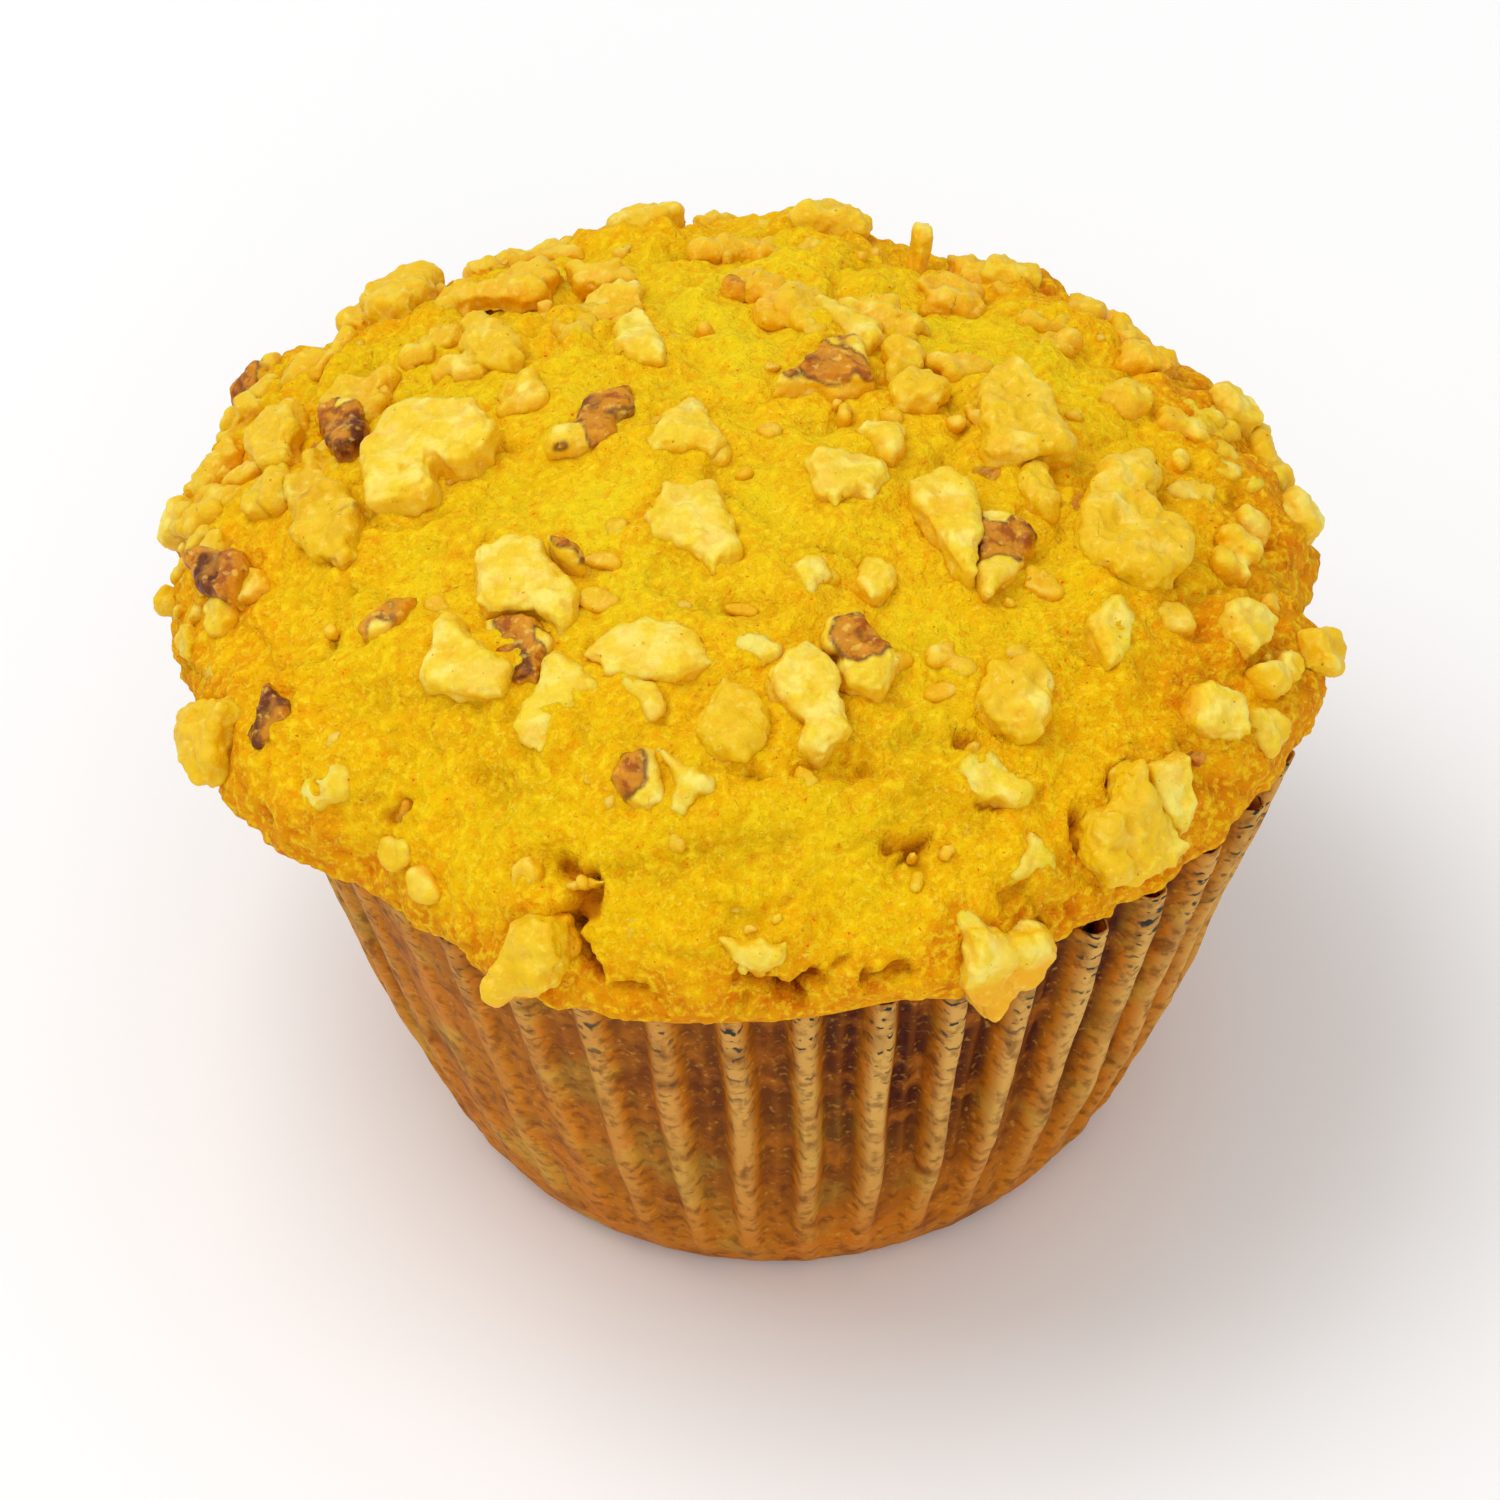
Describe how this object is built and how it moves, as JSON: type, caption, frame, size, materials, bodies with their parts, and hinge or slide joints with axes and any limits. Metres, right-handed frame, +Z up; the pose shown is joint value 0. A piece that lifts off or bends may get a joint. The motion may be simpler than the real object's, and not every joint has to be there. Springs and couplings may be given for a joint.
{
  "type": "muffin",
  "caption": "Round muffin with chopped walnut pieces in its low domed crown, baked in a pleated paper cup that stands on its flat base.",
  "frame": {"origin": "centre of the paper cup's flat base, on the surface that it stands on", "axes": "+Z up, from the base to the crown; -Y towards the side where the crown hangs over the rim; +X to the right seen from that side"},
  "size_m": [0.0827, 0.0795, 0.0572],
  "materials": {
    "crust": "matte baked crumb, golden yellow, orange brown at the rim",
    "paper": "greased brown baking paper, half matte",
    "kernel": "broken walnut kernel, pale yellow, satin",
    "skin": "walnut skin, orange brown, satin"
  },
  "bodies": {
    "root": {"muffin_cake": "crust", "paper_cup": "paper", "walnut_01": "kernel", "walnut_02": "kernel", "walnut_03": "kernel", "walnut_04": "kernel", "walnut_05": "skin", "walnut_06": "skin", "walnut_07": "kernel", "walnut_08": "kernel", "walnut_09": "kernel", "walnut_10": "kernel", "walnut_11": "kernel", "walnut_12": "skin", "walnut_13": "skin", "walnut_14": "kernel", "walnut_15": "skin", "walnut_16": "kernel", "walnut_17": "kernel", "walnut_18": "kernel", "walnut_19": "kernel", "walnut_20": "kernel", "walnut_21": "skin", "walnut_22": "skin", "walnut_23": "kernel", "walnut_24": "kernel", "walnut_25": "kernel", "walnut_26": "kernel", "walnut_27": "skin", "walnut_28": "kernel", "walnut_29": "kernel", "walnut_30": "kernel", "walnut_31": "kernel", "walnut_32": "kernel", "walnut_33": "kernel", "walnut_34": "kernel", "walnut_35": "kernel", "walnut_36": "kernel", "walnut_37": "kernel", "walnut_38": "kernel", "walnut_39": "kernel", "walnut_40": "kernel", "walnut_41": "kernel", "walnut_42": "kernel", "walnut_43": "kernel", "walnut_44": "skin", "walnut_45": "kernel", "walnut_46": "skin", "walnut_47": "skin", "walnut_48": "kernel", "walnut_49": "kernel", "walnut_50": "kernel", "walnut_51": "kernel", "walnut_52": "kernel", "walnut_53": "kernel", "walnut_54": "kernel", "walnut_55": "kernel", "walnut_56": "kernel", "walnut_57": "kernel", "walnut_58": "kernel"}
  },
  "joints": []
}
